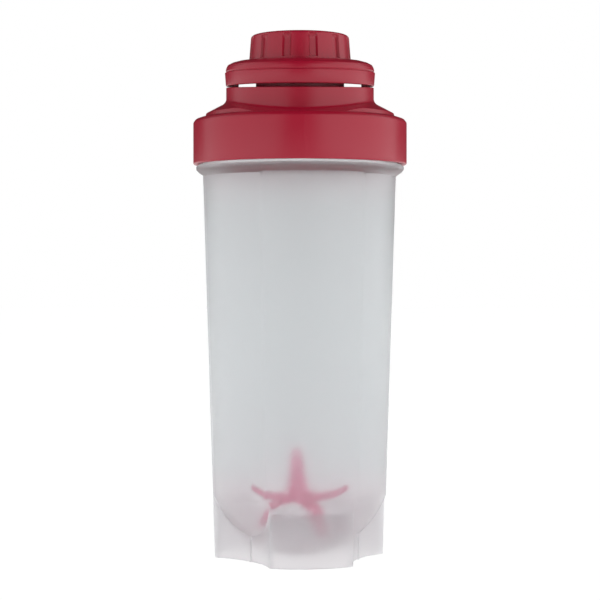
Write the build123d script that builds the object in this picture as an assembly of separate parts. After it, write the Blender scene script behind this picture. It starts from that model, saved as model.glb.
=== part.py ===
from build123d import *
import os
from math import atan, cos, degrees, radians, sin

# A protein shaker bottle: a frosted cup, a threaded lid with a screw-down drinking spout
# and a carry loop, and a loose whisk. Millimetres, +Z up, origin on the axis at the table.

clearance = 0.3

# Cup
footRadius = 40.0
topRadius = 45.4
bodyHeight = 179.0
cupWall = 1.8
lobeStep = 0.4
lobeWidth = 62.0
lobeTurn = 8.6
lobeCount = 3
bowlRadius = 43.0
bowlCentre = 44.0
scoopRadius = 43.4
scoopOffset = 72.3
stemWidth = 1.4
stemDepth = 0.9
stemHeight = 14.0
flangeRadius = 48.6
flangeTop = 183.7
neckRadius = 45.6
neckBore = 43.4
rimHeight = 201.5

# Lid
lidRadius = 50.0
lidBottom = 183.9
lidWall = 2.1
shoulderRadius = 46.6
shoulderHeight = 205.6
stepRadius = 44.6
domeRadius = 43.9
domeFoot = 207.7
domeTop = 212.6
saddleRadius = 120.0
collarRadius = 34.6
collarTop = 220.2
collarWall = 2.2
collarDip = 3.1
ceiling = 203.0
deckTop = 213.2
deckThickness = 2.0
gasketInner = 43.6
gasketOuter = 46.6

# Spout and its screw cap
spoutBore = 15.0
spoutRadius = 17.0
spoutTop = 240.7
capSkirtRadius = 20.7
capBore = 18.95
capSkirtBottom = 214.0
knobBottom = 230.4
knobBaseRadius = 24.0
knobTopRadius = 22.9
knobTop = 244.3
knobRound = 2.6
capThickness = 2.0
gripCount = 12
gripWidth = 3.6
gripDepth = 1.0
gripBottom = 232.4
gripTop = 242.6
sealRadius = 17.6
sealThickness = 1.4

# Threads: the same helix in each pair, half a pitch apart
ribRoot = 2.6
ribCrest = 1.2
ribBite = 0.35
lidPitch = 5.0
lidThreadBase = 190.0
neckCrest = 47.3
lidCrest = 46.05
capPitch = 4.0
capThreadBase = 228.0
spoutCrest = 18.35
capCrest = 17.45

# Carry loop
loopTilt = 3.0
loopPivotHeight = 226.0
loopBottom = 220.7
loopLowRadius = 34.75
loopSkirtWall = 1.9
loopRadius = 35.2
loopWidest = 226.9
loopUnderside = 228.9
loopTop = 232.5
loopHole = 26.9
loopSkirtBack = 15.0
hingeBack = 35.3
hingeHeight = 225.2
barrelRadius = 3.0
barrelHalf = 9.0
earWidth = 4.0
pinRadius = 1.45
pinRunning = 0.05

# Whisk: two tiers of three tapered blades on one hub
hubPoint = (-0.8, -8.0, 29.3)
hubRadius = 3.8
whiskTilt = 22.0
whiskYaw = 3.0
upperLift = 25.0
lowerDrop = 38.0
lowerTurn = 70.0
upperReach = 27.5
lowerReach = 22.5
bladeRootWidth = 10.5
bladeTipWidth = 4.2
bladeThickness = 2.0
bladeBow = 2.6


def coneRadius(z):
    return footRadius + (topRadius - footRadius) * z / bodyHeight


def spun(points):
    """A solid of revolution about Z from an outline of (radius, height) points."""
    return revolve(Plane.XZ * make_face(Polyline(*points, close=True)), Axis.Z)


def tapered(lowRadius, low, highRadius, high):
    return spun([(0, low), (lowRadius, low), (highRadius, high), (0, high)])


def cylinderZ(radius, low, high):
    return Pos(0, 0, (low + high) / 2) * Cylinder(radius, high - low)


def aroundLobes(shape, turn):
    """Three copies of a shape that lies along -Y, turned to the lobes or between them."""
    return [Rot(0, 0, turn + i * 360 / lobeCount) * shape for i in range(lobeCount)]


def threadRib(rootRadius, crestRadius, pitch, base):
    """One turn of a trapezoid rib on the helix that starts at the given height."""
    inward = 1 if crestRadius > rootRadius else -1
    footing = rootRadius - inward * ribBite
    path = Helix(pitch, pitch, rootRadius, center=(0, 0, base))
    start = Plane(origin=path @ 0, x_dir=(1, 0, 0), z_dir=path % 0)
    outline = Polyline(
        (footing - rootRadius, -ribRoot / 2),
        (crestRadius - rootRadius, -ribCrest / 2),
        (crestRadius - rootRadius, ribCrest / 2),
        (footing - rootRadius, ribRoot / 2),
        close=True,
    )
    return sweep(start * make_face(outline), path=path, is_frenet=True)


def bowl(radius, top):
    """What lies inside a sphere below its centre, with no limit above it."""
    return Pos(0, 0, bowlCentre) * Sphere(radius) + cylinderZ(radius + 10, bowlCentre, top)


def makeCup():
    # The outer cone, thinner between the three lobes
    panel = tapered(footRadius - lobeStep, 0, topRadius - lobeStep, bodyHeight)
    cone = tapered(footRadius, 0, topRadius, bodyHeight)
    reach = footRadius * 2
    across = reach * sin(radians(lobeWidth / 2))
    ahead = reach * cos(radians(lobeWidth / 2))
    wedge = make_face(Polyline((0, 0), (-across, -ahead), (across, -ahead), close=True))
    lobes = Sketch() + aroundLobes(wedge, lobeTurn)
    body = panel + (cone & extrude(lobes, bodyHeight))

    # The feet: the same outline with three scoops cut out, made as a hollow skirt
    scoop = Pos(0, -scoopOffset, bodyHeight / 2) * Cylinder(scoopRadius, bodyHeight + 10)
    widerScoop = Pos(0, -scoopOffset, bodyHeight / 2) * Cylinder(scoopRadius + cupWall, bodyHeight + 20)
    between = lobeTurn + 180 / lobeCount
    skirt = body & cylinderZ(footRadius * 2, 0, bowlCentre - 8)
    hollow = tapered(footRadius - cupWall, -1, coneRadius(bowlCentre) - cupWall, bowlCentre)
    for cutter in aroundLobes(scoop, between):
        skirt -= cutter
    for cutter in aroundLobes(widerScoop, between):
        hollow -= cutter
    skirt -= hollow

    # The container: the cone closed by a spherical bowl
    container = body & bowl(bowlRadius, bodyHeight + 10)
    stemFace = scoopOffset - scoopRadius + stemDepth
    stem = Pos(0, stemDepth - stemFace, stemHeight / 2) * Box(stemWidth, 2 * stemDepth, stemHeight)
    shape = container + skirt
    for rib in aroundLobes(stem, between):
        shape += rib

    # Flange and neck
    flange = spun(
        [
            (neckBore - 1, bodyHeight - 1),
            (topRadius - 0.2, bodyHeight - 1),
            (flangeRadius - 0.6, bodyHeight + 1.6),
            (flangeRadius, bodyHeight + 2.6),
            (flangeRadius, bodyHeight + 3.6),
            (flangeRadius - 0.5, flangeTop - 0.5),
            (flangeRadius - 1.2, flangeTop),
            (neckBore - 1, flangeTop),
        ]
    )
    neck = cylinderZ(neckRadius, bodyHeight - 1, rimHeight)
    shape = shape + flange + neck
    shape += threadRib(neckRadius, neckCrest, lidPitch, lidThreadBase)

    # What the cup holds
    wallTop = topRadius - lobeStep - cupWall
    wallFoot = footRadius - lobeStep - cupWall
    room = tapered(wallFoot, 0, wallTop, bodyHeight) & bowl(bowlRadius - cupWall, bodyHeight + 10)
    room += cylinderZ(neckBore, bodyHeight, rimHeight + 1)
    room += tapered(wallTop, bodyHeight - 4, neckBore, bodyHeight + 0.01)
    return shape - room


def saddle(drop):
    """What lies under the saddle over the dome, a long cylinder along X, or under the flat shoulder."""
    cylinder = Pos(0, 0, domeTop - saddleRadius) * Rot(0, 90, 0) * Cylinder(saddleRadius - drop, 120)
    below = shoulderHeight - drop
    return cylinder + Pos(0, 0, below / 2) * Box(120, 120, below)


def makeLid():
    outer = spun(
        [
            (0, lidBottom),
            (lidRadius - 0.5, lidBottom),
            (lidRadius, lidBottom + 0.6),
            (lidRadius, shoulderHeight - 2.6),
            (lidRadius - 0.25, shoulderHeight - 1.9),
            (lidRadius - 1.0, shoulderHeight - 1.2),
            (lidRadius - 2.4, shoulderHeight - 0.4),
            (shoulderRadius, shoulderHeight),
            (stepRadius, shoulderHeight),
            (domeRadius, domeFoot),
            (collarRadius, domeTop),
            (0, domeTop),
        ]
    )
    outer = outer & saddle(0)
    collar = cylinderZ(collarRadius, lidBottom, collarTop)

    # The collar's upper edge slopes down towards the front
    slope = degrees(atan(collarDip / collarRadius))
    above = Pos(0, -collarRadius, 10) * Box(90, 2 * collarRadius, 20)
    collar -= Pos(0, 0, collarTop) * Rot(slope, 0, 0) * above

    # Hinge ears behind the collar
    earFoot = domeTop - 5
    earMiddleHeight = (hingeHeight + earFoot) / 2
    ear = Pos(0, hingeBack, earMiddleHeight) * Box(earWidth, 2 * barrelRadius, hingeHeight - earFoot)
    ear += Pos(0, hingeBack, hingeHeight) * Rot(0, 90, 0) * Cylinder(barrelRadius, earWidth)
    earMiddle = barrelHalf + clearance + earWidth / 2

    shape = outer + collar
    shape -= cylinderZ(collarRadius - collarWall, deckTop, collarTop + 1)
    shape += Pos(earMiddle, 0, 0) * ear
    shape += Pos(-earMiddle, 0, 0) * ear
    shape -= Pos(0, hingeBack, hingeHeight) * Rot(0, 90, 0) * Cylinder(pinRadius, 4 * barrelHalf)

    # The hollow underside: the skirt's bore and the room below the deck
    skirtBore = lidRadius - lidWall
    room = cylinderZ(skirtBore, lidBottom - 1, ceiling)
    dome = tapered(skirtBore - 1.0, ceiling - 0.5, collarRadius - lidWall, domeTop - lidWall - 0.4)
    room += dome & saddle(lidWall)
    room += cylinderZ(collarRadius - collarWall, ceiling - 5, deckTop - deckThickness)
    shape -= room
    shape -= cylinderZ(spoutBore, deckTop - 5, deckTop + 1)
    return shape + threadRib(skirtBore, lidCrest, lidPitch, lidThreadBase - lidPitch / 2)


def makeSpout():
    tube = cylinderZ(spoutRadius, deckTop, spoutTop)
    tube += threadRib(spoutRadius, spoutCrest, capPitch, capThreadBase)
    return tube - cylinderZ(spoutBore, deckTop - 1, spoutTop + 1)


def makeGasket():
    return cylinderZ(gasketOuter, rimHeight, ceiling) - cylinderZ(gasketInner, rimHeight - 1, ceiling + 1)


def makeScrewCap():
    knob = spun(
        [
            (0, knobBottom),
            (knobBaseRadius - 0.5, knobBottom),
            (knobBaseRadius, knobBottom + 0.5),
            (knobTopRadius, knobTop),
            (0, knobTop),
        ]
    )
    knob = fillet(knob.edges().group_by(Axis.Z)[-1], knobRound)
    gripReach = knobTopRadius - gripDepth + 5
    cut = Pos(0, -gripReach, (gripBottom + gripTop) / 2) * Box(gripWidth, 10, gripTop - gripBottom)
    for i in range(gripCount):
        knob -= Rot(0, 0, (i + 0.5) * 360 / gripCount) * cut
    shape = knob + cylinderZ(capSkirtRadius, capSkirtBottom, knobBottom + 1)
    shape -= cylinderZ(capBore, capSkirtBottom - 1, knobTop - capThickness)
    return shape + threadRib(capBore, capCrest, capPitch, capThreadBase - capPitch / 2)


def makeCapSeal():
    top = knobTop - capThickness
    return cylinderZ(sealRadius, top - sealThickness, top)


def makeLoop():
    skirtInner = loopLowRadius - loopSkirtWall
    outline = [
        (loopHole, loopUnderside),
        (skirtInner, loopUnderside),
        (skirtInner, loopBottom),
        (loopLowRadius, loopBottom),
        (loopRadius, loopWidest),
        (loopRadius - 0.1, loopWidest + 0.9),
        (loopRadius - 0.5, loopWidest + 2.1),
        (loopRadius - 1.3, loopWidest + 3.6),
        (loopRadius - 3.2, loopWidest + 4.7),
        (loopHole + 2.0, loopTop - 0.3),
        (loopHole + 0.5, loopTop),
        (loopHole, loopTop - 0.5),
    ]
    ring = spun(outline)
    reach = 3 * loopRadius
    backCut = Box(reach, reach, loopUnderside - loopBottom + 1)
    ring -= Pos(0, loopSkirtBack + reach / 2, (loopUnderside + loopBottom - 1) / 2) * backCut
    ring = Pos(0, 0, loopPivotHeight) * Rot(loopTilt, 0, 0) * Pos(0, 0, -loopPivotHeight) * ring
    webTop = loopUnderside + hingeBack * sin(radians(loopTilt)) + 1.5
    webMiddle = (hingeHeight + webTop) / 2
    web = Pos(0, hingeBack - 2.5, webMiddle) * Box(2 * barrelHalf, 4.5, webTop - hingeHeight)
    barrel = Pos(0, hingeBack, hingeHeight) * Rot(0, 90, 0) * Cylinder(barrelRadius, 2 * barrelHalf)
    bore = Pos(0, hingeBack, hingeHeight) * Rot(0, 90, 0) * Cylinder(pinRadius + pinRunning, 4 * barrelHalf)
    return ring + web + barrel - bore


def makePin():
    length = 2 * (barrelHalf + clearance + earWidth)
    return Pos(0, hingeBack, hingeHeight) * Rot(0, 90, 0) * Cylinder(pinRadius, length)


def makeBlade(reach):
    """A bowed, tapered blade with a round end, along +X from the hub, bowed up towards +Z."""
    radius = (reach**2 / 4 + bladeBow**2) / (2 * bladeBow)
    middle = reach / 2
    outer = Pos(middle, 0, bladeBow - radius) * Rot(90, 0, 0) * Cylinder(radius + bladeThickness / 2, 40)
    inner = Pos(middle, 0, bladeBow - radius) * Rot(90, 0, 0) * Cylinder(radius - bladeThickness / 2, 50)
    shoulder = reach - bladeTipWidth / 2
    sides = make_face(
        Polyline(
            (0, -bladeRootWidth / 2),
            (shoulder, -bladeTipWidth / 2),
            (shoulder, bladeTipWidth / 2),
            (0, bladeRootWidth / 2),
            close=True,
        )
    )
    plan = sides + Pos(shoulder, 0) * Circle(bladeTipWidth / 2)
    return (outer - inner) & extrude(Pos(0, 0, -radius) * plan, 2 * radius)


def makeWhisk():
    shape = Sphere(hubRadius)
    for i in range(3):
        shape += Rot(0, 0, 90 + i * 120) * Rot(0, -upperLift, 0) * Rot(180, 0, 0) * makeBlade(upperReach)
        shape += Rot(0, 0, lowerTurn + i * 120) * Rot(0, lowerDrop, 0) * makeBlade(lowerReach)
    return Pos(*hubPoint) * Rot(0, 0, whiskYaw) * Rot(whiskTilt, 0, 0) * shape


makers = {
    "bottle_cup": makeCup,
    "lid_gasket": makeGasket,
    "lid_shell": makeLid,
    "lid_spout": makeSpout,
    "loop_hinge_pin": makePin,
    "carry_loop": makeLoop,
    "cap_seal": makeCapSeal,
    "screw_cap": makeScrewCap,
    "agitator": makeWhisk,
}

os.makedirs("parts", exist_ok=True)
for node, maker in makers.items():
    export_step(maker(), f"parts/{node}.step")
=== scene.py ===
import math

import bmesh
import bpy
from mathutils import Matrix, Vector


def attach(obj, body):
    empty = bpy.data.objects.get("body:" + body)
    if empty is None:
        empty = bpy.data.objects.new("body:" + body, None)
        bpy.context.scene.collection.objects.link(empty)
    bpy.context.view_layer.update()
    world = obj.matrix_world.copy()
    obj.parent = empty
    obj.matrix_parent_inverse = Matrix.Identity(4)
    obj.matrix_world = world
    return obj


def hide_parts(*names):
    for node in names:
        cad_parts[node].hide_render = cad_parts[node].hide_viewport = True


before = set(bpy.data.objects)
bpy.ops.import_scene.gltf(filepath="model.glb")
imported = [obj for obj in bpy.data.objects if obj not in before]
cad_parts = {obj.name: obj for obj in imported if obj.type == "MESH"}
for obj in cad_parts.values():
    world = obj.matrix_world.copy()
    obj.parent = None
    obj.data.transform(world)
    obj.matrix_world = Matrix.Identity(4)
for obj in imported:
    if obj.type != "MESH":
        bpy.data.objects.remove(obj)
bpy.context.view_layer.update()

print("frame loaded:", len(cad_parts), "nodes")


# small helpers, all sizes in millimetres until a piece is finished

mmToMetres = 0.001
mergeDistance = 1e-4
sideShare = 0.49  # the most of a side that one rounded corner may take
threadBite = 0.35  # how far a thread's root sinks into the wall that carries it


def roundedPath(corners, steps=3):
    # corners are (radius, height, rounding); each rounding becomes a short arc
    path = []
    for i, (r, z, rounding) in enumerate(corners):
        here = Vector((r, z))
        if rounding == 0:
            path.append(here)
            continue
        before = Vector(corners[i - 1][:2]) - here
        after = Vector(corners[(i + 1) % len(corners)][:2]) - here
        half = before.angle(after) / 2
        back = min(rounding / math.tan(half), sideShare * before.length, sideShare * after.length)
        bisector = (before.normalized() + after.normalized()).normalized()
        centre = here + bisector * (back / math.cos(half))
        first = here + before.normalized() * back - centre
        last = here + after.normalized() * back - centre
        sweep = first.angle_signed(last)
        for k in range(steps + 1):
            spoke = first.copy()
            spoke.rotate(Matrix.Rotation(-sweep * k / steps, 2))
            path.append(centre + spoke)
    return path


def spinOutline(outline, columns, closed, reshape=None):
    # revolves (radius, height) points about Z, then lets reshape move each point
    bm = bmesh.new()
    row = bm.verts.layers.int.new("row")
    verts = []
    for i, point in enumerate(outline):
        vert = bm.verts.new((point[0], 0, point[1]))
        vert[row] = i
        verts.append(vert)
    pairs = list(zip(verts, verts[1:]))
    if closed:
        pairs.append((verts[-1], verts[0]))
    edges = [bm.edges.new(pair) for pair in pairs]
    bmesh.ops.spin(
        bm, geom=verts + edges, cent=(0, 0, 0), axis=(0, 0, 1), angle=2 * math.pi,
        steps=columns, use_merge=True,
    )
    bmesh.ops.remove_doubles(bm, verts=bm.verts, dist=mergeDistance)
    if reshape:
        for vert in bm.verts:
            radius = math.hypot(vert.co.x, vert.co.y)
            angle = math.degrees(math.atan2(vert.co.y, vert.co.x))
            newRadius, newHeight = reshape(vert[row], angle, radius, vert.co.z)
            scale = newRadius / radius if radius > 1e-6 else 0
            vert.co = (vert.co.x * scale, vert.co.y * scale, newHeight)
    bmesh.ops.recalc_face_normals(bm, faces=bm.faces)
    return bm


def threadRib(rootRadius, crestRadius, pitch, base, rootWidth=2.6, crestWidth=1.2, columns=180):
    # one turn of a screw thread: its section screwed about Z
    bm = bmesh.new()
    sunk = rootRadius - math.copysign(threadBite, crestRadius - rootRadius)
    section = [
        (sunk, base - rootWidth / 2), (crestRadius, base - crestWidth / 2),
        (crestRadius, base + crestWidth / 2), (sunk, base + rootWidth / 2),
    ]
    face = bm.faces.new([bm.verts.new((r, 0, z)) for r, z in section])
    start = bmesh.ops.duplicate(bm, geom=[face])["geom"]
    bmesh.ops.spin(
        bm, geom=start, cent=(0, 0, 0), axis=(0, 0, 1), dvec=(0, 0, pitch / columns),
        angle=2 * math.pi, steps=columns, use_merge=False,
    )
    bmesh.ops.remove_doubles(bm, verts=bm.verts, dist=mergeDistance)
    bmesh.ops.recalc_face_normals(bm, faces=bm.faces)
    return bm


def drawnPlate(points, start, width, rounding, segments):
    # a (y, z) section drawn out along X, with its two rims rounded
    bm = bmesh.new()
    face = bm.faces.new([bm.verts.new((start, y, z)) for y, z in points])
    grown = bmesh.ops.extrude_face_region(bm, geom=[face])["geom"]
    moved = [item for item in grown if isinstance(item, bmesh.types.BMVert)]
    bmesh.ops.translate(bm, vec=(width, 0, 0), verts=moved)
    rims = [edge for edge in bm.edges if abs(edge.verts[0].co.x - edge.verts[1].co.x) < 1e-6]
    bmesh.ops.bevel(bm, geom=rims, offset=rounding, segments=segments, profile=0.5,
                    affect="EDGES", material=-1)
    bmesh.ops.recalc_face_normals(bm, faces=bm.faces)
    return bm


def joinInto(target, extra):
    # adds another bmesh to this one as its own closed shell
    mesh = bpy.data.meshes.new("joining")
    extra.to_mesh(mesh)
    extra.free()
    target.from_mesh(mesh)
    bpy.data.meshes.remove(mesh)


def finishPiece(name, bm, body, replaced, material, sharpAngle=38):
    # metres, smooth faces, hard edges where the shape turns sharply
    bmesh.ops.scale(bm, vec=(mmToMetres, mmToMetres, mmToMetres), verts=bm.verts)
    for face in bm.faces:
        face.smooth = True
    for edge in bm.edges:
        if len(edge.link_faces) == 2 and edge.calc_face_angle(0) > math.radians(sharpAngle):
            edge.smooth = False
    mesh = bpy.data.meshes.new(name)
    bm.to_mesh(mesh)
    bm.free()
    piece = bpy.data.objects.new(name, mesh)
    bpy.context.scene.collection.objects.link(piece)
    piece.data.materials.append(material)
    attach(piece, body)
    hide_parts(replaced)
    print("made", name, len(mesh.polygons), "faces")
    return piece


def hexColour(code, alpha=1.0):
    # sRGB hex code to linear light
    channels = [int(code[i:i + 2], 16) / 255 for i in (0, 2, 4)]
    linear = [c / 12.92 if c <= 0.04045 else ((c + 0.055) / 1.055) ** 2.4 for c in channels]
    return (*linear, alpha)


def addNode(tree, kind, inputs=(), **settings):
    # a node with its settings; inputs are (socket, value or socket to link) pairs
    node = tree.nodes.new(kind)
    for key, value in settings.items():
        setattr(node, key, value)
    for socket, value in inputs:
        if isinstance(value, bpy.types.NodeSocket):
            tree.links.new(value, node.inputs[socket])
        else:
            node.inputs[socket].default_value = value
    return node


def newMaterial(name):
    material = bpy.data.materials.new(name)
    material.use_nodes = True
    material.node_tree.nodes.clear()
    return material, material.node_tree


# materials

noiseSpan = (0.3, 0.7)  # nearly all of a noise texture's values lie between these

mouldedLook = {
    "grainMm": 0.35, "grainStrength": 0.12, "grainDepthMm": 0.08,
    "flowMarkMm": 38.0, "glossier": 0.03, "duller": 0.04, "ior": 1.49,
}
crimsonLook = {"colour": "A3062B", "deepColour": "9A0426", "roughness": 0.33}
pinkLook = {"colour": "EA3A86", "deepColour": "DA2E78", "roughness": 0.4}


def noiseTexture(tree, place, sizeMm, detail=2.0):
    return addNode(tree, "ShaderNodeTexNoise", [
        ("Vector", place), ("Scale", 1000 / sizeMm), ("Detail", detail)]).outputs["Fac"]


def noiseGloss(tree, noise, smoothest, roughest):
    return addNode(tree, "ShaderNodeMapRange", [
        ("Value", noise), ("From Min", noiseSpan[0]), ("From Max", noiseSpan[1]),
        ("To Min", smoothest), ("To Max", roughest)]).outputs["Result"]


def noiseTint(tree, noise, low, high):
    return addNode(tree, "ShaderNodeMix", [
        ("Factor", noise), ("A", hexColour(low)), ("B", hexColour(high))],
        data_type="RGBA").outputs["Result"]


def noiseBump(tree, noise, strength, depthMm):
    return addNode(tree, "ShaderNodeBump", [
        ("Height", noise), ("Strength", strength), ("Distance", depthMm / 1000)]).outputs["Normal"]


def mouldedPolypropylene(name, look):
    # injection-moulded polypropylene: satin, with a fine spark-eroded grain that breaks up the
    # highlights and faint flow marks that shift the colour a little
    material, tree = newMaterial(name)
    place = addNode(tree, "ShaderNodeTexCoord").outputs["Object"]
    flow = noiseTexture(tree, place, mouldedLook["flowMarkMm"])
    grain = noiseTexture(tree, place, mouldedLook["grainMm"])
    gloss = noiseGloss(tree, flow, look["roughness"] - mouldedLook["glossier"],
                       look["roughness"] + mouldedLook["duller"])
    shader = addNode(tree, "ShaderNodeBsdfPrincipled", [
        ("Base Color", noiseTint(tree, flow, look["deepColour"], look["colour"])),
        ("Roughness", gloss), ("IOR", mouldedLook["ior"]),
        ("Normal", noiseBump(tree, grain, mouldedLook["grainStrength"], mouldedLook["grainDepthMm"]))])
    addNode(tree, "ShaderNodeOutputMaterial", [("Surface", shader.outputs["BSDF"])])
    return material


frostLook = {
    # the end tint is painted light: a paler, pinker glow painted on at the foot and the neck
    "tint": "F4F6F7", "paintedGlowTint": "F9F5F7",
    "endsBelowMm": 34.0, "bodyFromMm": 44.0, "bodyToMm": 164.0, "endsAboveMm": 182.0,
    "rampMm": 200.0,
    "milk": "E3E5E6", "milkShare": 0.30,
    "roughness": 0.30, "glossier": 0.015, "duller": 0.03, "cloudMm": 45.5, "ior": 1.3,
    "grainMm": 0.9, "grainStrength": 0.08, "grainDepthMm": 0.06,
}


def frostedPolypropylene():
    # natural polypropylene with a frosted skin: things behind it blur, and more so further off,
    # and a milky share keeps the walls pale grey instead of clear
    material, tree = newMaterial("frostedPolypropylene")
    place = addNode(tree, "ShaderNodeTexCoord").outputs["Object"]
    grain = noiseTexture(tree, place, frostLook["grainMm"])
    cloud = noiseTexture(tree, place, frostLook["cloudMm"])
    gloss = noiseGloss(tree, cloud, frostLook["roughness"] - frostLook["glossier"],
                       frostLook["roughness"] + frostLook["duller"])
    # painted light: the tint is painted paler and pinker at the foot and the neck, where several walls
    # lie behind each other
    height = addNode(tree, "ShaderNodeSeparateXYZ", [("Vector", place)]).outputs["Z"]
    along = addNode(tree, "ShaderNodeMapRange", [
        ("Value", height), ("From Max", frostLook["rampMm"] / 1000)])
    tint = addNode(tree, "ShaderNodeValToRGB", [("Fac", along.outputs["Result"])])
    stops = tint.color_ramp.elements
    for stop, key in ((stops[0], "endsBelowMm"), (stops[1], "endsAboveMm")):
        stop.position = frostLook[key] / frostLook["rampMm"]
        stop.color = hexColour(frostLook["paintedGlowTint"])
    for key in ("bodyFromMm", "bodyToMm"):
        stops.new(frostLook[key] / frostLook["rampMm"]).color = hexColour(frostLook["tint"])
    clear = addNode(tree, "ShaderNodeBsdfPrincipled", [
        ("Base Color", tint.outputs["Color"]), ("Roughness", gloss),
        ("IOR", frostLook["ior"]), ("Transmission Weight", 1.0),
        ("Normal", noiseBump(tree, grain, frostLook["grainStrength"], frostLook["grainDepthMm"]))])
    milk = addNode(tree, "ShaderNodeBsdfTranslucent", [("Color", hexColour(frostLook["milk"]))])
    mixed = addNode(tree, "ShaderNodeMixShader", [
        ("Fac", frostLook["milkShare"]), (1, clear.outputs["BSDF"]), (2, milk.outputs["BSDF"])])
    addNode(tree, "ShaderNodeOutputMaterial", [("Surface", mixed.outputs["Shader"])])
    return material


siliconeLook = {
    "low": "D9D8D4", "high": "EDEDEA", "roughness": 0.6, "ior": 1.41,
    "dustMm": 1.11, "dustStrength": 0.1, "dustDepthMm": 0.05,
}


def siliconeRubber():
    # white silicone, pressed: a soft, nearly matt sheen with a little dust in it
    material, tree = newMaterial("siliconeRubber")
    place = addNode(tree, "ShaderNodeTexCoord").outputs["Object"]
    dust = noiseTexture(tree, place, siliconeLook["dustMm"], 3.0)
    shader = addNode(tree, "ShaderNodeBsdfPrincipled", [
        ("Base Color", noiseTint(tree, dust, siliconeLook["low"], siliconeLook["high"])),
        ("Roughness", siliconeLook["roughness"]), ("IOR", siliconeLook["ior"]),
        ("Normal", noiseBump(tree, dust, siliconeLook["dustStrength"], siliconeLook["dustDepthMm"]))])
    addNode(tree, "ShaderNodeOutputMaterial", [("Surface", shader.outputs["BSDF"])])
    return material


frosted = frostedPolypropylene()
lidPlastic = mouldedPolypropylene("satinCrimsonPolypropylene", crimsonLook)
whiskPlastic = mouldedPolypropylene("satinPinkPolypropylene", pinkLook)
silicone = siliconeRubber()
print("materials made")


# the cup

cup = {
    "footRadius": 40.0, "topRadius": 45.4, "bodyHeight": 179.0, "wall": 1.8,
    "lobeStep": 0.5, "lobeHalf": 31.0, "lobeEdgeDegrees": 1.0, "lobeTurn": 8.6, "lobeKink": 30.2,
    "bowlRadius": 43.0, "bowlCentre": 44.0,
    "scoopRadius": 43.4, "scoopOffset": 72.3, "skirtTop": 24.0,
    "stemHalfAngle": 1.2, "stemDepth": 0.9,
    "neckStart": 176.0, "flangeRadius": 48.6, "flangeFoot": 178.9, "flangeTop": 183.7,
    "neckRadius": 45.6, "neckBore": 43.4, "rimHeight": 201.5,
    "thread": (47.3, 5.0, 190.0),  # crest radius, pitch, height
    "columns": 360,
}


def cupConeRadius(z):
    return cup["footRadius"] + (cup["topRadius"] - cup["footRadius"]) * z / cup["bodyHeight"]


def bowlRadiusAt(z, radius):
    drop = cup["bowlCentre"] - z
    return math.sqrt(max(0.0, radius * radius - drop * drop)) if drop > 0 else radius


def bowlHeightAt(r, radius):
    return cup["bowlCentre"] - math.sqrt(max(0.0, radius * radius - r * r))


def crossing(low, high, gap):
    # the height where gap changes sign, by halving
    for _ in range(40):
        middle = (low + high) / 2
        if (gap(middle) > 0) == (gap(high) > 0):
            high = middle
        else:
            low = middle
    return (low + high) / 2


def fromLobe(angle):
    # degrees from the nearest of three lobes' middles; the front one is turned a little from -Y
    return (angle + 90 - cup["lobeTurn"] + 60) % 120 - 60


outOfReach = 1000.0  # stands for a scoop that this direction misses


def scoopReach(fromScoop, grow=0.0):
    # distance from the axis to the scooped wall, which is part of a circle outside the cup
    sine = cup["scoopOffset"] * math.sin(math.radians(fromScoop))
    across = (cup["scoopRadius"] + grow) ** 2 - sine * sine
    if across <= 0:
        return outOfReach
    return cup["scoopOffset"] * math.cos(math.radians(fromScoop)) - math.sqrt(across)


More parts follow.
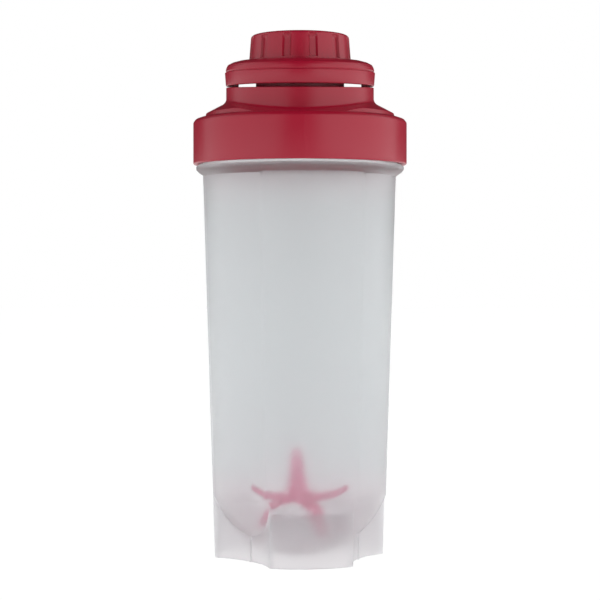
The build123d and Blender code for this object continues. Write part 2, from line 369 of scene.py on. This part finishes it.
def makeCup():
    c = cup
    innerBowl = c["bowlRadius"] - c["wall"]
    innerFoot = c["lobeStep"] + c["wall"]
    hollowRadius = c["footRadius"] - c["wall"]
    # where the bowl meets the body, inside and, between the lobes, outside
    turnIn = crossing(20, 40, lambda z: bowlRadiusAt(z, innerBowl) - (cupConeRadius(z) - innerFoot))
    kinkPanel = crossing(20, 40, lambda z: (
        bowlRadiusAt(z, c["bowlRadius"]) - cupConeRadius(z) + c["lobeStep"]))
    bowlSteps, bowlRows, skirtRows, hollowRows, domeRows = 24, 10, 12, 10, 22
    insideHeights = [32, 40, 60, 90, 120, 150, 172]
    wallHeights = [178.3, 176, 165, 150, 130, 110, 90, 70, 55, 45, 38, 34, 31]
    footEdge = [(0, 0.5), (0.15, 0.12), (0.5, 0.0)]  # inset and height along its rounding

    # the section at a lobe's middle, from the bowl's inner pole round to its outer one
    outline, zones = [], []

    def add(zone, points):
        for r, z in points:
            outline.append((r, z))
            zones.append(zone)

    turnRadius = bowlRadiusAt(turnIn, innerBowl)
    bowlRadii = [turnRadius * k / bowlSteps for k in range(bowlSteps)]
    add("inside", [(r, bowlHeightAt(r, innerBowl)) for r in bowlRadii])
    add("inside", [(cupConeRadius(z) - innerFoot, z) for z in [turnIn] + insideHeights])
    add("inside", roundedPath([
        (cupConeRadius(c["neckStart"]) - innerFoot, c["neckStart"], 0),
        (c["neckBore"], c["neckStart"] + 4, 1.0),
        (c["neckBore"], c["rimHeight"], 0.6), (c["neckRadius"], c["rimHeight"], 0.6),
        (c["neckRadius"], c["flangeTop"], 0.4), (c["flangeRadius"] - 0.9, c["flangeTop"], 0.6),
        (c["flangeRadius"], c["flangeTop"] - 0.8, 0.5),
        (c["flangeRadius"], c["flangeTop"] - 2.3, 0.8),
        (c["flangeRadius"] - 1.2, c["flangeTop"] - 3.6, 1.0),
        (c["topRadius"] + 0.1, c["flangeFoot"], 0)]))
    add("wall", [(cupConeRadius(z), z) for z in wallHeights])
    # the rows from here on only need to lie apart, because reshape puts them in place
    add("bowl", [(cupConeRadius(c["skirtTop"]), c["skirtTop"] + 6 * (1 - k / bowlRows))
                 for k in range(bowlRows + 1)])
    add("skirt", [(c["footRadius"], c["skirtTop"] * (1 - k / skirtRows)) for k in range(1, skirtRows)])
    add("foot", [(c["footRadius"] - inset, z) for inset, z in footEdge])
    add("hollowFoot", [(hollowRadius + inset, z) for inset, z in reversed(footEdge)])
    add("hollow", [(hollowRadius, c["skirtTop"] * k / hollowRows) for k in range(1, hollowRows + 1)])
    add("under", [(hollowRadius * (1 - k / domeRows), 1.0) for k in range(1, domeRows + 1)])
    firstOf = {zone: zones.index(zone) for zone in set(zones)}

    def reshape(row, angle, r, z):
        zone = zones[row]
        step = row - firstOf[zone]
        lobe = fromLobe(angle)
        fromScoop = 60 - abs(lobe)
        onLobe = abs(lobe) < c["lobeHalf"] + 0.01
        past = (abs(lobe) - c["lobeHalf"]) / c["lobeEdgeDegrees"]
        drop = c["lobeStep"] * max(0.0, min(1.0, past))
        if zone == "inside":
            return r, z
        if zone == "wall":
            return cupConeRadius(z) - drop, z
        wallLow = cupConeRadius(20)
        scooped = scoopReach(fromScoop)
        kink = c["lobeKink"] if onLobe else kinkPanel
        isScoop = scooped < wallLow - 0.05
        meets = c["skirtTop"]
        if isScoop:
            meets = min(bowlHeightAt(scooped, c["bowlRadius"]), kink - 0.5)
        if zone == "bowl":
            height = kink + (meets - kink) * step / bowlRows
            radius = bowlRadiusAt(height, c["bowlRadius"]) if isScoop else cupConeRadius(height)
            return min(radius, cupConeRadius(height) - drop), height
        stem = c["stemDepth"] if fromScoop < c["stemHalfAngle"] else 0.0
        if zone == "skirt":
            height = meets * (1 - (step + 1) / skirtRows)
            return min(scooped, cupConeRadius(height)) + stem, height
        if zone == "foot":
            return min(scooped, c["footRadius"]) + stem - (c["footRadius"] - r), z
        inner = min(scoopReach(fromScoop, c["wall"]), hollowRadius)
        if zone == "hollowFoot":
            return inner + (r - hollowRadius), z
        low = footEdge[0][1]
        top = bowlHeightAt(inner, c["bowlRadius"]) + 0.2
        if zone == "hollow":
            return inner, low + (top - low) * (step + 1) / hollowRows
        radius = inner * (1 - (step + 1) / domeRows)
        return radius, bowlHeightAt(radius, c["bowlRadius"])

    bm = spinOutline(outline, c["columns"], False, reshape)
    joinInto(bm, threadRib(c["neckRadius"], *c["thread"]))
    return bm


finishPiece("cup_frosted", makeCup(), "cup", "bottle_cup", frosted)


# the lid

lid = {
    "radius": 50.0, "bottom": 183.9, "wall": 2.1, "ceiling": 203.0, "shoulder": 205.6,
    "seamDegrees": -88.0, "seamHalfDegrees": 0.6, "seamMm": 0.08,
    "stepRadius": 44.6, "domeRadius": 43.9, "domeFoot": 207.7, "domeTop": 212.6,
    "saddleRadius": 120.0, "easeMm": 0.5, "filletMm": 2.2, "leastFilletShare": 0.35,
    "collarRadius": 34.6, "collarTop": 220.2, "collarWall": 2.2, "lipHeight": 0.8, "dip": 3.1,
    "deckTop": 213.2, "deckUnder": 211.2, "spoutRadius": 17.0, "spoutBore": 15.0, "spoutTop": 240.7,
    "spoutThread": (18.35, 4.0, 228.0), "skirtThread": (46.05, 5.0, 187.5),  # as on the cup
    "hingeBack": 35.3, "hingeHeight": 225.2, "barrelRadius": 3.0, "barrelHalf": 9.0, "gap": 0.3,
    "earWidth": 4.0, "earFootDepth": 4.0, "pinRadius": 1.45, "pinChamfer": 0.35,
    "columns": 360,
}


def saddleHeight(y):
    return lid["domeTop"] - lid["saddleRadius"] + math.sqrt(lid["saddleRadius"] ** 2 - y * y)


def coneHeight(r):
    # the dome's cone, then a short steep step down to the shoulder
    if r > lid["domeRadius"]:
        share = min(1.0, (r - lid["domeRadius"]) / (lid["stepRadius"] - lid["domeRadius"]))
        share = share * share * (3 - 2 * share)
        return lid["domeFoot"] + (lid["shoulder"] - lid["domeFoot"]) * share
    share = (r - lid["collarRadius"]) / (lid["domeRadius"] - lid["collarRadius"])
    return lid["domeTop"] + (lid["domeFoot"] - lid["domeTop"]) * share


def lidTopHeight(r, y):
    # the lower of the cone and the saddle, eased into each other, never below the shoulder
    cone, saddle = coneHeight(r), saddleHeight(y)
    gap = max(0.0, lid["easeMm"] - abs(cone - saddle))
    height = min(cone, saddle) - gap * gap / 2
    return max(lid["shoulder"], height)


def lidCrease(angle):
    # radius where the saddle takes over from the cone, or runs out on the shoulder
    sine = abs(math.sin(math.radians(angle)))

    def gap(r):
        return saddleHeight(r * sine) - coneHeight(r)

    if gap(lid["domeRadius"]) < 0:
        fall = lid["saddleRadius"] - lid["domeTop"] + lid["shoulder"]
        run = math.sqrt(lid["saddleRadius"] ** 2 - fall ** 2)
        return min(lid["domeRadius"] + 0.2, run / max(sine, 1e-6))
    found = crossing(lid["collarRadius"] + 0.2, lid["domeRadius"], gap)
    return min(lid["domeRadius"] - 0.5, max(lid["collarRadius"] + 3.0, found))


def collarTopAt(y):
    # the collar's upper edge slopes down towards the front
    return lid["collarTop"] + lid["dip"] * min(0.0, y) / lid["collarRadius"]


def filletAt(sine):
    # the fillet at the collar's foot: widest at the sides, least at the front and back
    least = lid["leastFilletShare"]
    return lid["filletMm"] * (least + (1 - least) * (1 - abs(sine)) ** 0.6)


def makeLid():
    c = lid
    stepRows, domeRows, filletRows, collarRows = 8, 22, 6, 6
    half = domeRows // 2
    skirtInside = c["radius"] - c["wall"]
    wallInside = c["collarRadius"] - c["collarWall"]
    lipFoot = c["collarTop"] - c["lipHeight"]
    outline, zones = [], []

    def add(zone, points):
        for r, z in points:
            outline.append((r, z))
            zones.append(zone)

    add("skirt", roundedPath([
        (skirtInside, c["bottom"], 0.5), (c["radius"], c["bottom"], 0.7),
        (c["radius"], c["shoulder"] - 2.2, 1.6), (c["radius"] - 1.1, c["shoulder"] - 0.8, 1.2),
        (c["radius"] - 3.4, c["shoulder"], 3.0), (c["stepRadius"] + 0.5, c["shoulder"], 0)], steps=4))
    # from the step to the collar reshape places the rows, which here only need to lie apart
    add("step", [(c["stepRadius"] + 0.01 * k, c["shoulder"]) for k in range(stepRows)])
    add("dome", [(c["domeRadius"] - 0.3 * k, c["domeFoot"]) for k in range(domeRows)])
    add("fillet", [(c["collarRadius"] + 0.01 * k, c["domeTop"]) for k in range(filletRows)])
    add("collar", [(c["collarRadius"], c["domeTop"] + k) for k in range(1, collarRows + 1)])
    add("lip", roundedPath([
        (c["collarRadius"], lipFoot, 0), (c["collarRadius"], c["collarTop"], 0.5),
        (wallInside, c["collarTop"], 0.5), (wallInside, lipFoot, 0)])[1:])
    add("inside", roundedPath([
        (wallInside, c["deckTop"] + 1.0, 0), (wallInside, c["deckTop"], 0.6),
        (c["spoutRadius"], c["deckTop"], 0.6), (c["spoutRadius"], c["spoutTop"], 0.5),
        (c["spoutBore"], c["spoutTop"], 0.5), (c["spoutBore"], c["deckUnder"], 0.5),
        (wallInside, c["deckUnder"], 0.8), (wallInside, c["ceiling"], 0.3),
        (skirtInside, c["ceiling"], 1.5), (skirtInside, c["bottom"] + 2, 0)]))
    firstOf = {zone: zones.index(zone) for zone in set(zones)}

    def reshape(row, angle, r, z):
        zone = zones[row]
        step = row - firstOf[zone]
        sine = math.sin(math.radians(angle))
        onSeam = abs(angle - c["seamDegrees"]) < c["seamHalfDegrees"]
        if zone == "skirt" and onSeam and r > c["radius"] - 0.6:
            return r + c["seamMm"], z
        fillet = filletAt(sine)
        if zone in ("step", "dome", "fillet"):
            crease = lidCrease(angle)
            if zone == "step":
                radius = c["stepRadius"] - (c["stepRadius"] - c["domeRadius"]) * step / (stepRows - 1)
            elif zone == "dome" and step < half:
                radius = c["domeRadius"] + (crease - c["domeRadius"]) * (step + 1) / half
            elif zone == "dome":
                radius = crease + (c["collarRadius"] + fillet - crease) * (step - half + 1) / half
            else:
                turn = math.pi / 2 * (step + 1) / filletRows
                radius = c["collarRadius"] + fillet * (1 - math.sin(turn))
                return radius, lidTopHeight(radius, radius * sine) + fillet * (1 - math.cos(turn))
            return radius, lidTopHeight(radius, radius * sine)
        top = collarTopAt(r * sine)
        if zone == "collar":
            foot = lidTopHeight(c["collarRadius"], c["collarRadius"] * sine) + fillet
            return r, foot + (top - c["lipHeight"] - foot) * (step + 1) / collarRows
        if zone == "lip":
            return r, z + top - c["collarTop"]
        return r, z

    bm = spinOutline(outline, c["columns"], True, reshape)
    joinInto(bm, threadRib(c["spoutRadius"], *c["spoutThread"]))
    joinInto(bm, threadRib(skirtInside, *c["skirtThread"]))
    for side in (-1, 1):
        joinInto(bm, makeEar(side))
    return bm


def makeEar(side):
    # one hinge ear: a round-topped plate that stands behind the collar
    c = lid
    back, height, radius = c["hingeBack"], c["hingeHeight"], c["barrelRadius"]
    foot = c["domeTop"] - c["earFootDepth"]
    arcSteps = 12
    points = [(back + radius, foot)]
    for k in range(arcSteps + 1):
        turn = math.pi * k / arcSteps
        points.append((back + radius * math.cos(turn), height + radius * math.sin(turn)))
    points.append((back - radius, foot))
    start = side * (c["barrelHalf"] + c["gap"] + c["earWidth"] / 2) - c["earWidth"] / 2
    return drawnPlate(points, start, c["earWidth"], rounding=0.5, segments=3)


lidPiece = finishPiece("lid_moulding", makeLid(), "lid", "lid_shell", lidPlastic)
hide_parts("lid_spout")  # the spout is part of this moulding


# the screw cap

cap = {
    "skirtRadius": 20.7, "bore": 18.95, "skirtBottom": 214.0, "thread": (17.45, 4.0, 226.0),
    "knobBottom": 230.4, "baseRadius": 24.0, "topRadius": 22.9, "top": 244.3, "round": 2.6,
    "thick": 2.0,
    "gripCount": 12, "gripHalfDegrees": 4.3, "gripEdgeDegrees": 0.5, "gripDepth": 1.2,
    "gripBottom": 232.4, "gripTop": 243.4, "gripFade": 1.2,
    "columns": 480,
}


def gripCut(angle):
    # how deep a groove is here: flat-bottomed, with short steep sides
    pitch = 360 / cap["gripCount"]
    away = abs((angle + 90) % pitch - pitch / 2)
    share = (cap["gripHalfDegrees"] + cap["gripEdgeDegrees"] - away) / cap["gripEdgeDegrees"]
    share = max(0.0, min(1.0, share))
    return cap["gripDepth"] * share


def knobRadius(z):
    share = (z - cap["knobBottom"]) / (cap["top"] - cap["knobBottom"])
    return cap["baseRadius"] + (cap["topRadius"] - cap["baseRadius"]) * share


def makeCap():
    c = cap
    ledge = 0.15  # half the height over which a groove's lower end steps out
    crownFoot, knobLow = 241.3, 231.8
    gripHeights = [241.2, 239.0, 237.0, 235.0, c["gripBottom"] + ledge, c["gripBottom"] - ledge]
    corner = roundedPath([
        (0, c["top"], 0), (c["topRadius"], c["top"], c["round"]),
        (knobRadius(crownFoot), crownFoot, 0)], steps=10)[1:-1]
    lower = roundedPath([
        (knobRadius(knobLow), knobLow, 0), (c["baseRadius"], c["knobBottom"], 0.5),
        (c["skirtRadius"], c["knobBottom"], 0.5), (c["skirtRadius"], c["skirtBottom"], 0.5),
        (c["bore"], c["skirtBottom"], 0.5), (c["bore"], c["top"] - c["thick"], 0.6),
        (0, c["top"] - c["thick"], 0)])
    crown = [(0, c["top"]), (c["topRadius"] / 2, c["top"])] + corner
    outline = crown + [(knobRadius(z), z) for z in gripHeights] + lower
    firstUngripped = len(crown) + len(gripHeights) - 1

    def reshape(row, angle, r, z):
        if row < firstUngripped:
            fade = max(0.0, min(1.0, (c["gripTop"] - z) / c["gripFade"]))
            return r - gripCut(angle) * fade, z
        return r, z

    bm = spinOutline(outline, c["columns"], False, reshape)
    joinInto(bm, threadRib(c["bore"], *c["thread"]))
    return bm


finishPiece("screw_cap_knob", makeCap(), "cap", "screw_cap", lidPlastic)


# the carry loop

loop = {
    "bottom": 220.7, "lowRadius": 34.75, "wall": 1.9, "radius": 35.2, "widest": 226.9,
    "under": 228.9, "top": 232.5, "hole": 26.9, "skirtBack": 15.0,
    "tilt": 3.0, "pivotHeight": 226.0,
    "columns": 360,
}


def makeLoop():
    c = loop
    inner = c["lowRadius"] - c["wall"]
    outline = roundedPath([
        (c["hole"], c["under"], 0.4), (inner, c["under"], 0.6), (inner, c["bottom"], 0.4),
        (c["lowRadius"], c["bottom"], 0.5), (c["radius"], c["widest"], 0.2),
        (c["radius"] - 0.75, c["widest"] + 0.3, 0.15), (c["radius"] - 0.35, c["widest"] + 0.9, 0.3),
        (c["radius"] - 0.7, c["widest"] + 2.3, 0.8), (c["radius"] - 1.4, c["widest"] + 3.6, 0.8),
        (c["radius"] - 3.6, c["widest"] + 4.7, 1.2), (c["hole"] + 1.6, c["top"] - 0.1, 0.9),
        (c["hole"], c["top"] - 0.6, 0.6)])

    def reshape(row, angle, r, z):
        y = r * math.sin(math.radians(angle))
        # the skirt is cut away at the back, where the hinge is
        if y > c["skirtBack"] and z < c["widest"] and r > inner - 0.9:
            share = (z - c["bottom"]) / (c["widest"] - c["bottom"])
            return r, c["widest"] - 0.5 + 0.5 * share
        return r, z

    bm = spinOutline(outline, c["columns"], True, reshape)
    bmesh.ops.rotate(bm, cent=(0, 0, c["pivotHeight"]), verts=bm.verts,
                     matrix=Matrix.Rotation(math.radians(c["tilt"]), 3, "X"))
    joinInto(bm, makeLoopHinge())
    return bm


def makeLoopHinge():
    # the arm and barrel at the back, one rounded section drawn out along X
    back, height, radius = lid["hingeBack"], lid["hingeHeight"], lid["barrelRadius"]
    top = loop["under"] + back * math.sin(math.radians(loop["tilt"])) + 1.2
    arcSteps = 14
    points = [(back - 0.7, top)]
    for k in range(arcSteps + 1):
        turn = math.radians(80 - 260 * k / arcSteps)
        points.append((back + radius * math.cos(turn), height + radius * math.sin(turn)))
    points.append((back - 4.6, top))
    return drawnPlate(points, -lid["barrelHalf"], 2 * lid["barrelHalf"], rounding=0.3, segments=2)


finishPiece("carry_loop_ring", makeLoop(), "loop", "carry_loop", lidPlastic)


# the whisk

whisk = {
    "hub": (-0.8, -8.0, 29.3), "hubRadius": 3.8, "tilt": 22.0, "yaw": 3.0,
    "upperReach": 27.5, "upperLift": 25.0, "upperTurn": 90.0,
    "lowerReach": 22.5, "lowerDrop": 38.0, "lowerTurn": 70.0,
    "rootWidth": 10.5, "tipWidth": 4.2, "thickness": 2.0, "bow": 2.6,
    "bladeCuts": 16, "voxelMm": 0.4,
}


def makeBlade(reach, flip):
    # a tapered ribbon along +X with a round end, bowed up or down
    c = whisk
    bm = bmesh.new()
    bmesh.ops.create_cube(bm, size=1)
    bmesh.ops.scale(bm, vec=(reach, c["tipWidth"], c["thickness"]), verts=bm.verts)
    bmesh.ops.translate(bm, vec=(reach / 2, 0, 0), verts=bm.verts)
    upright = [edge for edge in bm.edges if abs(edge.verts[0].co.z - edge.verts[1].co.z) > 1]
    corners = [edge for edge in upright if edge.verts[0].co.x > 1]
    # just under half the width, so the two rounded corners don't quite meet
    bmesh.ops.bevel(bm, geom=corners, offset=c["tipWidth"] * 0.499, segments=8, profile=0.5,
                    affect="EDGES", material=-1)
    for k in range(1, c["bladeCuts"]):
        bmesh.ops.bisect_plane(bm, geom=bm.verts[:] + bm.edges[:] + bm.faces[:],
                               plane_co=(reach * k / c["bladeCuts"], 0, 0), plane_no=(1, 0, 0))
    widen = c["rootWidth"] / c["tipWidth"]
    for vert in bm.verts:
        along = vert.co.x / reach
        vert.co.y *= widen + (1 - widen) * along
        vert.co.z += flip * c["bow"] * 4 * along * (1 - along)
    bmesh.ops.recalc_face_normals(bm, faces=bm.faces)
    return bm


def turned(bm, degrees, axis):
    bmesh.ops.rotate(bm, verts=bm.verts, matrix=Matrix.Rotation(math.radians(degrees), 3, axis))


def makeWhisk():
    c = whisk
    bm = bmesh.new()
    bmesh.ops.create_icosphere(bm, subdivisions=4, radius=c["hubRadius"])
    for i in range(3):
        upper = makeBlade(c["upperReach"], -1)
        turned(upper, -c["upperLift"], "Y")
        turned(upper, c["upperTurn"] + 120 * i, "Z")
        joinInto(bm, upper)
        lower = makeBlade(c["lowerReach"], 1)
        turned(lower, c["lowerDrop"], "Y")
        turned(lower, c["lowerTurn"] + 120 * i, "Z")
        joinInto(bm, lower)
    turned(bm, c["tilt"], "X")
    turned(bm, c["yaw"], "Z")
    bmesh.ops.translate(bm, vec=c["hub"], verts=bm.verts)
    # one skin over hub and blades, with soft fillets where they meet
    rough = bpy.data.meshes.new("whiskRough")
    bm.to_mesh(rough)
    bm.free()
    holder = bpy.data.objects.new("whiskRough", rough)
    bpy.context.scene.collection.objects.link(holder)
    skin = holder.modifiers.new("skin", "REMESH")
    skin.mode = "VOXEL"
    skin.voxel_size = c["voxelMm"]
    soften = holder.modifiers.new("soften", "SMOOTH")
    soften.factor = 0.5
    soften.iterations = 5
    depsgraph = bpy.context.evaluated_depsgraph_get()
    skinned = bpy.data.meshes.new_from_object(holder.evaluated_get(depsgraph))
    bpy.data.objects.remove(holder)
    out = bmesh.new()
    out.from_mesh(skinned)
    bpy.data.meshes.remove(skinned)
    return out


finishPiece("whisk_star", makeWhisk(), "whisk", "agitator", whiskPlastic)


# seals and pin

gasket = {"inner": 43.6, "outer": 46.6, "low": 201.5, "high": 203.0, "round": 0.4, "columns": 240}
capSeal = {"radius": 17.6, "low": 241.0, "high": 242.4, "inset": 0.4, "rise": 0.3, "columns": 180}


def makeGasket():
    g = gasket
    outline = roundedPath([
        (g["inner"], g["low"], g["round"]), (g["outer"], g["low"], g["round"]),
        (g["outer"], g["high"], g["round"]), (g["inner"], g["high"], g["round"])])
    return spinOutline(outline, g["columns"], True)


def makeCapSeal():
    c = capSeal
    flat = c["radius"] - c["inset"]
    outline = [
        (0, c["low"]), (flat, c["low"]), (c["radius"], c["low"] + c["rise"]),
        (c["radius"], c["high"] - c["rise"]), (flat, c["high"]), (0, c["high"])]
    return spinOutline(outline, c["columns"], False)


finishPiece("rim_gasket", makeGasket(), "gasket", "lid_gasket", silicone)
finishPiece("cap_seal_disc", makeCapSeal(), "seal", "cap_seal", silicone)


def makePin():
    half = lid["barrelHalf"] + lid["gap"] + lid["earWidth"]
    radius, chamfer = lid["pinRadius"], lid["pinChamfer"]
    outline = [
        (0, -half), (radius - chamfer, -half), (radius, chamfer - half),
        (radius, half - chamfer), (radius - chamfer, half), (0, half)]
    bm = spinOutline(outline, 48, False)
    turned(bm, 90, "Y")
    bmesh.ops.translate(bm, verts=bm.verts, vec=(0, lid["hingeBack"], lid["hingeHeight"]))
    return bm


finishPiece("loop_pin", makePin(), "lid", "loop_hinge_pin", lidPlastic)


# floor, light and camera

stage = {
    "floorHalf": 6.0, "floorColour": "3C3C3C", "floorGlow": 1.0,
    "backdropRadius": 9.0, "backdropGlow": 1.0, "worldGlow": 0.05,
    "softboxWatts": 16.0, "rightShare": 1.35, "softboxSize": (2.6, 2.0),
    "softboxSide": 0.94, "softboxFront": 0.34, "softboxHeight": 0.35, "aimHeight": 0.14,
}


def stageObject(name, bm, material):
    mesh = bpy.data.meshes.new(name)
    bm.to_mesh(mesh)
    bm.free()
    mesh.materials.append(material)
    thing = bpy.data.objects.new(name, mesh)
    bpy.context.scene.collection.objects.link(thing)
    return thing


def paleFloor():
    # matt grey that also glows white: it reads as plain white and still keeps a trace of shade
    material, tree = newMaterial("paleFloor")
    shader = addNode(tree, "ShaderNodeBsdfPrincipled", [
        ("Base Color", hexColour(stage["floorColour"])), ("Roughness", 0.9),
        ("Specular IOR Level", 0.0), ("Emission Color", hexColour("FFFFFF")),
        ("Emission Strength", stage["floorGlow"])])
    addNode(tree, "ShaderNodeOutputMaterial", [("Surface", shader.outputs["BSDF"])])
    return material


def whiteBackdrop():
    material, tree = newMaterial("whiteBackdrop")
    glow = addNode(tree, "ShaderNodeEmission", [
        ("Color", hexColour("FFFFFF")), ("Strength", stage["backdropGlow"])])
    addNode(tree, "ShaderNodeOutputMaterial", [("Surface", glow.outputs["Emission"])])
    return material


def makeStage():
    bm = bmesh.new()
    bmesh.ops.create_grid(bm, x_segments=1, y_segments=1, size=stage["floorHalf"])
    floor = stageObject("floor", bm, paleFloor())

    bm = bmesh.new()
    bmesh.ops.create_uvsphere(bm, u_segments=48, v_segments=24, radius=stage["backdropRadius"])
    backdrop = stageObject("backdrop", bm, whiteBackdrop())
    backdrop.visible_glossy = False
    backdrop.visible_diffuse = False
    backdrop.visible_shadow = False


def makeSoftbox(name, side, watts):
    place = Vector((side * stage["softboxSide"], -stage["softboxFront"], stage["softboxHeight"]))
    light = bpy.data.lights.new(name, "AREA")
    light.shape = "RECTANGLE"
    light.size, light.size_y = stage["softboxSize"]
    light.energy = watts
    lamp = bpy.data.objects.new(name, light)
    bpy.context.scene.collection.objects.link(lamp)
    lamp.location = place
    toAim = Vector((0, 0, stage["aimHeight"])) - place
    lamp.rotation_euler = toAim.to_track_quat("-Z", "Y").to_euler()


def makeWorld():
    world = bpy.data.worlds.new("studio")
    bpy.context.scene.world = world
    world.use_nodes = True
    background = world.node_tree.nodes["Background"]
    background.inputs["Color"].default_value = hexColour("FFFFFF")
    background.inputs["Strength"].default_value = stage["worldGlow"]


view = {
    "lens": 108.0, "sensor": 36.0, "distance": 0.846, "height": 0.1328, "pitch": 0.83,
    "clipEnd": 50.0,
}


def makeCamera():
    camera = bpy.data.objects.new("camera", bpy.data.cameras.new("camera"))
    bpy.context.scene.collection.objects.link(camera)
    camera.data.lens = view["lens"]
    camera.data.sensor_width = view["sensor"]
    camera.data.clip_end = view["clipEnd"]
    camera.location = (0, -view["distance"], view["height"])
    camera.rotation_euler = (math.radians(90 - view["pitch"]), 0, 0)
    bpy.context.scene.camera = camera


makeStage()
makeSoftbox("leftSoftbox", -1, stage["softboxWatts"])
makeSoftbox("rightSoftbox", 1, stage["softboxWatts"] * stage["rightShare"])
makeWorld()
makeCamera()
bpy.context.scene.view_settings.view_transform = "Standard"
print("stage made")
